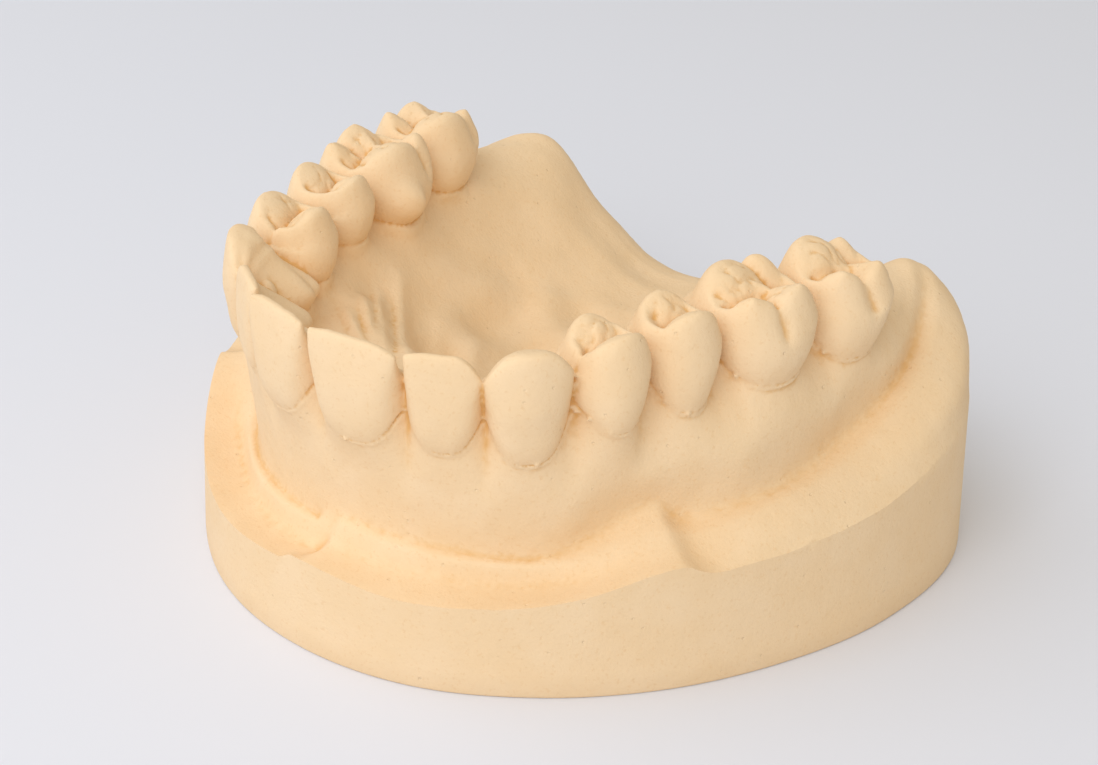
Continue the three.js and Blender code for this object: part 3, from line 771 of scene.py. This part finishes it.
def trimmer():
    """What the trimmed upper part fits into: joint surface below, ground wall around."""
    degrees = all_round()
    zero = np.zeros_like(degrees)
    rings = [polar(zero, degrees, joint_height(degrees, JOINT_SLOPE_WIDTH))]
    for inset in np.linspace(JOINT_SLOPE_WIDTH, 0.0, TRIMMER_STEPS):
        height = joint_height(degrees, inset)
        rings.append(polar(wall_radius(degrees, height) - inset, degrees, height))
    for height in TRIMMER_HEIGHTS:
        rings.append(polar(wall_radius(degrees, height), degrees, zero + height))
    rings.append(polar(zero, degrees, zero + TRIMMER_HEIGHTS[-1]))
    return new_object("trimmer", ring_mesh("trimmer", np.stack(rings)))


def nodules(grow):
    height = JOINT_FLOOR_HEIGHT - NODULE_DROP + NODULE_RADIUS
    radius = NODULE_RADIUS + grow
    return [ellipsoid("nodule", polar(NODULE_RING_RADIUS, degrees, height), [radius] * 3, NODULE_AROUND)
            for degrees in NODULE_ANGLES]


# ---------------------------------------------------------------- surface of the stone

VOXEL = 0.17
SOFTENING = 0.5
SOFTENING_STEPS = 2
FINE_TRIANGLES = 225000

# Unevenness of the poured stone: depth, length and number of waves.
WEATHER = [(0.022, 4.5, 14), (0.011, 1.6, 18), (0.006, 0.75, 18)]


def weather(mesh, random):
    """Slight unevenness of poured stone, over the whole surface."""
    points, normals = vertex_array(mesh), vertex_array(mesh, "normal")
    mm = points / MM
    push = sum(depth * waves(mm, random, length, count) for depth, length, count in WEATHER)
    points += normals * (push * MM)[:, None]
    mesh.vertices.foreach_set("co", points.astype(np.float32).ravel())
    mesh.update()


# The front contacts, each named by the tooth in front of it, counted from the midline.
FRONT_CONTACTS = (0, 1, 2)
BEADS_PER_CONTACT = 12
BEAD_RISE = (0.4, 4.0)
BEAD_SINK = (0.1, 0.7)
BEAD_SIZE = (0.14, 0.26)
BEAD_TURN = (-0.5, 0.5)
BEAD_STRETCH = (0.7, 1.2)
BEAD_AROUND = 10
MARGIN_BEADS = 16
MARGIN_BEAD_SPAN = (2.0, 118.0)
MARGIN_BEAD_RISE = (-0.1, 0.2)
MARGIN_BEAD_OUT = (0.15, 0.4)
MARGIN_BEAD_SIZE = (0.12, 0.22)
WEB_SINK = 1.35
WEB_RISE = 1.6
WEB_RADII = (1.0, 1.0, 2.3)


def contact(index, side):
    """Angle, radius and height of the outer gum margin between a tooth and the next one back."""
    order = (-1, 0) if side > 0 else (0, -1)
    first, second = neck_arc(TEETH[index], side, True), neck_arc(TEETH[index + 1], side, True)
    return (first[order[0]] + second[order[1]]) / 2


def webs():
    """Stone that fills the gap between two front teeth, a little behind their outer faces."""
    found = []
    for side in (1, -1):
        for index in FRONT_CONTACTS:
            angle, radius, height = contact(index, side)
            centre = polar(radius - WEB_SINK, angle, height + WEB_RISE)
            found.append(ellipsoid("web", centre, WEB_RADII))
    return found


def beads(random):
    """Small rough beads of stone at the right front contacts and along the outer gum margin."""
    found = []
    for index in FRONT_CONTACTS:
        angle, radius, height = contact(index, 1)
        for _ in range(BEADS_PER_CONTACT):
            rise = random.uniform(*BEAD_RISE)
            sink, turn = random.uniform(*BEAD_SINK), random.uniform(*BEAD_TURN)
            spot = [radius - sink, angle + turn, height + rise]
            found.append((spot, random.uniform(*BEAD_SIZE)))
    line = gum_margin_line(True)
    first, last = MARGIN_BEAD_SPAN
    right = line[(line[:, 0] > first) & (line[:, 0] < last)]
    for _ in range(MARGIN_BEADS):
        angle, radius, height = right[random.integers(len(right))]
        out, turn = random.uniform(*MARGIN_BEAD_OUT), random.uniform(*BEAD_TURN)
        spot = [radius + out, angle + turn, height + random.uniform(*MARGIN_BEAD_RISE)]
        found.append((spot, random.uniform(*MARGIN_BEAD_SIZE)))
    solids = []
    for spot, size in found:
        radii = [size, size * random.uniform(*BEAD_STRETCH), size]
        solids.append(ellipsoid("bead", polar(*spot), radii, BEAD_AROUND))
    return solids


# A point counts as sunken as far as it lies below its surroundings, smoothed in small or in many steps. How
# sunken it is sets the painted shade: a darker, warmer orange stone colour in creases and hollows.
FINE_STEPS, FINE_START, FINE_DEPTH, FINE_SHARE = 5, 0.01, 0.03, 0.85
BROAD_STEPS, BROAD_DEPTH, BROAD_SHARE = 70, 0.3, 0.22
SMOOTHING_SHARE = 0.6
HOLLOW_REACH = 0.4


def hollow_shade_amount(mesh):
    """How sunken the surface is at each vertex of an even mesh, from 0 to about 1: how much painted shade
    it gets.
    """
    points, normals = vertex_array(mesh) / MM, vertex_array(mesh, "normal")
    edges = np.empty(len(mesh.edges) * 2, np.int32)
    mesh.edges.foreach_get("vertices", edges)
    edges = edges.reshape(-1, 2)
    start, end = np.concatenate([edges, edges[:, ::-1]]).T
    count = len(points)
    neighbours = np.bincount(start, minlength=count)[:, None]
    smooth, depth = points, {}
    for step in range(1, BROAD_STEPS + 1):
        total = [np.bincount(start, weights=smooth[end, axis], minlength=count) for axis in range(3)]
        average = np.stack(total, axis=-1) / neighbours
        smooth = (1.0 - SMOOTHING_SHARE) * smooth + SMOOTHING_SHARE * average
        if step in (FINE_STEPS, BROAD_STEPS):
            depth[step] = ((smooth - points) * normals).sum(axis=-1)
    fine = np.clip((depth[FINE_STEPS] - FINE_START) / FINE_DEPTH, 0.0, 1.0)
    broad = np.clip(depth[BROAD_STEPS] / BROAD_DEPTH, 0.0, 1.0)
    return FINE_SHARE * fine + BROAD_SHARE * broad


def write_hollow_shade(mesh, tree, values):
    """Writes the mesh attribute of painted shade in creases and hollows, which the stone's colour reads,
    from the nearest even point.
    """
    found = np.zeros(len(mesh.vertices))
    for index, vertex in enumerate(mesh.vertices):
        _, nearest, distance = tree.find(vertex.co)
        if distance < HOLLOW_REACH * MM:
            found[index] = values[nearest]
    mesh.attributes.new("hollow_shade", "FLOAT", "POINT").data.foreach_set("value", found.astype(np.float32))


def crowns():
    solids = []
    for tooth in TEETH:
        for side in (1, -1):
            solids.append(new_object(tooth["name"], ring_mesh(tooth["name"], crown_rings(tooth, side))))
    return solids


def fuse(piece):
    """Makes one even, slightly softened skin of the joined solids."""
    remesh = piece.modifiers.new("fuse", "REMESH")
    remesh.mode = "VOXEL"
    remesh.voxel_size = VOXEL * MM
    smooth = piece.modifiers.new("soften", "SMOOTH")
    smooth.factor = SOFTENING
    smooth.iterations = SOFTENING_STEPS
    apply_modifiers(piece)


def thin_out(piece):
    """Keeps fewer triangles, most of them where the surface bends."""
    piece.data.calc_loop_triangles()
    reduce = piece.modifiers.new("reduce", "DECIMATE")
    reduce.ratio = FINE_TRIANGLES / len(piece.data.loop_triangles)
    apply_modifiers(piece)


def vertex_tree(mesh):
    tree = KDTree(len(mesh.vertices))
    for index, vertex in enumerate(mesh.vertices):
        tree.insert(vertex.co, index)
    tree.balance()
    return tree


def make_anatomic_portion():
    piece = new_object("anatomic_stone", gum_blank())
    combine(piece, crowns() + webs() + beads(np.random.default_rng(11)), "UNION")
    fuse(piece)
    weather(piece.data, np.random.default_rng(7))
    # Painted shade for creases and hollows is measured here on the even mesh, before thinning, and written
    # to the mesh attribute below.
    values, tree = hollow_shade_amount(piece.data), vertex_tree(piece.data)
    thin_out(piece)
    combine(piece, [trimmer()], "INTERSECT")
    combine(piece, nodules(0.0), "UNION")
    write_hollow_shade(piece.data, tree, values)
    return piece


# The base's lower edge and wall: inset from the wall, height.
BASE_EDGE = [(0.5, 0.0), (0.15, 0.08), (0.0, 0.4), (0.0, 2.5), (0.0, 5.0)]
JOINT_STEPS = 5
JOINT_EDGE_WIDTH = 1.5


def make_art_base():
    degrees = all_round()
    zero = np.zeros_like(degrees)
    rings = [polar(zero, degrees, zero)]
    for inset, height in BASE_EDGE:
        rings.append(polar(wall_radius(degrees, height) - inset, degrees, zero + height))
    for inset in np.linspace(0.0, JOINT_SLOPE_WIDTH, JOINT_STEPS):
        gap = JOINT_GAP * smoothstep(0.0, JOINT_EDGE_WIDTH, inset)
        height = joint_height(degrees, inset) - gap
        rings.append(polar(wall_radius(degrees, height) - inset, degrees, height))
    rings.append(polar(zero, degrees, zero + JOINT_FLOOR_HEIGHT - JOINT_GAP))
    piece = new_object("art_base_stone", ring_mesh("art_base_stone", np.stack(rings)))
    combine(piece, nodules(JOINT_GAP), "DIFFERENCE")
    return piece


# ---------------------------------------------------------------- material

STONE = (0.873, 0.641, 0.39, 1.0)
STONE_PALE = (0.888, 0.665, 0.42, 1.0)
# Darker orange used for small random speckles in the stone, and for painted shade in creases and hollows.
STONE_SPECKLE_AND_SHADE = (0.74, 0.43, 0.16, 1.0)
PIT_SPACING = 1.9


def add_node(tree, kind, **settings):
    node = tree.nodes.new(kind)
    for name, value in settings.items():
        setattr(node, name, value)
    return node


def mix_colours(tree, factor, first, second):
    """A colour mix; each input is a colour or a socket."""
    mix = add_node(tree, "ShaderNodeMix", data_type="RGBA")
    for socket, value in ((mix.inputs[0], factor), (mix.inputs[6], first), (mix.inputs[7], second)):
        if isinstance(value, bpy.types.NodeSocket):
            tree.links.new(value, socket)
        else:
            socket.default_value = value
    return mix.outputs[2]


def noise(tree, place, size, detail, roughness=0.5):
    """Noise whose features are about size millimetres across."""
    node = add_node(tree, "ShaderNodeTexNoise")
    node.inputs["Scale"].default_value = 1.0 / (size * MM)
    node.inputs["Detail"].default_value = detail
    node.inputs["Roughness"].default_value = roughness
    tree.links.new(place, node.inputs["Vector"])
    return node.outputs["Fac"]


def ramp(tree, value, low, high, out_low=0.0, out_high=1.0):
    node = add_node(tree, "ShaderNodeMapRange", interpolation_type="SMOOTHSTEP")
    for name, number in (("From Min", low), ("From Max", high), ("To Min", out_low), ("To Max", out_high)):
        node.inputs[name].default_value = number
    tree.links.new(value, node.inputs["Value"])
    return node.outputs["Result"]


def add_bump(tree, height, depth, before=None):
    """Bump of a height field, depth in millimetres, on top of the bump before it."""
    bump = add_node(tree, "ShaderNodeBump")
    bump.inputs["Distance"].default_value = depth * MM
    tree.links.new(height, bump.inputs["Height"])
    if before:
        tree.links.new(before, bump.inputs["Normal"])
    return bump.outputs["Normal"]


def stone_material():
    """Cast dental stone: mottled buff colour, painted shade that is darker and warmer in hollows, fine
    grain and a few small pits.
    """
    material = bpy.data.materials.new("buff_stone")
    material.use_nodes = True
    tree = material.node_tree
    shader = tree.nodes["Principled BSDF"]
    place = add_node(tree, "ShaderNodeTexCoord").outputs["Object"]
    hollow_shade = add_node(tree, "ShaderNodeAttribute", attribute_name="hollow_shade").outputs["Fac"]
    mottle = ramp(tree, noise(tree, place, size=5.0, detail=4.0), low=0.35, high=0.7)
    colour = mix_colours(tree, mottle, STONE, STONE_PALE)
    speckle = noise(tree, place, size=0.35, detail=3.0)
    speckle = ramp(tree, speckle, low=0.56, high=0.72, out_high=0.22)
    colour = mix_colours(tree, speckle, colour, STONE_SPECKLE_AND_SHADE)
    # Painted shade: creases and hollows take a darker, warmer orange from the mesh attribute.
    colour = mix_colours(tree, hollow_shade, colour, STONE_SPECKLE_AND_SHADE)
    tree.links.new(colour, shader.inputs["Base Color"])
    roughness = noise(tree, place, size=1.2, detail=3.0)
    roughness = ramp(tree, roughness, low=0.3, high=0.7, out_low=0.62, out_high=0.8)
    tree.links.new(roughness, shader.inputs["Roughness"])
    pits = add_node(tree, "ShaderNodeTexVoronoi", feature="F1")
    pits.inputs["Scale"].default_value = 1.0 / (PIT_SPACING * MM)
    tree.links.new(place, pits.inputs["Vector"])
    pit_height = ramp(tree, pits.outputs["Distance"], low=0.03, high=0.09)
    grain = noise(tree, place, size=0.28, detail=4.0, roughness=0.6)
    normal = add_bump(tree, grain, depth=0.05)
    normal = add_bump(tree, noise(tree, place, size=1.6, detail=2.0), depth=0.07, before=normal)
    normal = add_bump(tree, pit_height, depth=0.05, before=normal)
    tree.links.new(normal, shader.inputs["Normal"])
    shader.inputs["Specular IOR Level"].default_value = 0.3
    return material


# ---------------------------------------------------------------- stage, light and camera

CAMERA_TARGET = Vector((8.64, -9.19, 20.53)) * MM
CAMERA_DISTANCE = 206.9 * MM
CAMERA_AZIMUTH = 39.96
CAMERA_ELEVATION = 28.09
CAMERA_ROLL = 1.30
CAMERA_LENS = 74.2
TABLE_SIZE = 6000.0 * MM
TABLE_COLOUR = (0.768, 0.786, 0.86, 1.0)
WORLD_COLOUR = (1.0, 0.95, 0.835, 1.0)
WORLD_STRENGTH = 0.55


def direction(azimuth, elevation):
    a, e = math.radians(azimuth), math.radians(elevation)
    return Vector((math.sin(a) * math.cos(e), -math.cos(a) * math.cos(e), math.sin(e)))


def make_camera():
    data = bpy.data.cameras.new("camera")
    data.lens = CAMERA_LENS
    data.sensor_width = 36.0
    data.clip_start = 0.01
    data.clip_end = 10.0
    camera = bpy.data.objects.new("camera", data)
    bpy.context.scene.collection.objects.link(camera)
    back = direction(CAMERA_AZIMUTH, CAMERA_ELEVATION)
    roll = Matrix.Rotation(math.radians(CAMERA_ROLL), 4, "Z")
    aim = (-back).to_track_quat("-Z", "Y").to_matrix().to_4x4()
    camera.matrix_world = Matrix.Translation(CAMERA_TARGET + back * CAMERA_DISTANCE) @ aim @ roll
    bpy.context.scene.camera = camera


def add_light(name, azimuth, elevation, distance, size, power, colour):
    """An area light aimed at the camera's target; distance and size are in metres."""
    data = bpy.data.lights.new(name, "AREA")
    data.size = size
    data.energy = power
    data.color = colour
    light = bpy.data.objects.new(name, data)
    bpy.context.scene.collection.objects.link(light)
    away = direction(azimuth, elevation)
    light.location = CAMERA_TARGET + away * distance
    light.rotation_mode = "QUATERNION"
    light.rotation_quaternion = (-away).to_track_quat("-Z", "Y")


def make_stage():
    mesh = bpy.data.meshes.new("table")
    half = TABLE_SIZE / 2
    corners = [(-half, -half, 0), (half, -half, 0), (half, half, 0), (-half, half, 0)]
    mesh.from_pydata(corners, [], [(0, 1, 2, 3)])
    floor = new_object("table", mesh)
    material = bpy.data.materials.new("table_white")
    material.use_nodes = True
    shader = material.node_tree.nodes["Principled BSDF"]
    shader.inputs["Base Color"].default_value = TABLE_COLOUR
    shader.inputs["Roughness"].default_value = 0.9
    mesh.materials.append(material)
    world = bpy.data.worlds.new("studio")
    bpy.context.scene.world = world
    world.use_nodes = True
    background = world.node_tree.nodes["Background"]
    background.inputs["Color"].default_value = WORLD_COLOUR
    background.inputs["Strength"].default_value = WORLD_STRENGTH
    add_light("left_softbox", azimuth=-55.0, elevation=40.0, distance=0.6, size=0.8,
              power=1.6, colour=(0.91, 0.98, 1.12))
    add_light("front_softbox", azimuth=22.0, elevation=41.0, distance=0.6, size=0.5,
              power=1.85, colour=(0.98, 0.985, 1.0))
    bpy.context.scene.view_settings.view_transform = "Standard"


SHARP_ANGLE = math.radians(38.0)

make_camera()
make_stage()
stone = stone_material()
anatomic = make_anatomic_portion()
base = make_art_base()
pieces = [(anatomic, "anatomic_portion", "dental_stone"), (base, "art_base", "base_stone")]
for piece, node, slot in pieces:
    piece.data.materials.clear()
    piece.data.materials.append(stone)
    piece.data.shade_smooth()
    piece.data.set_sharp_from_angle(angle=SHARP_ANGLE)
    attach(piece, "root")
    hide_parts(node)
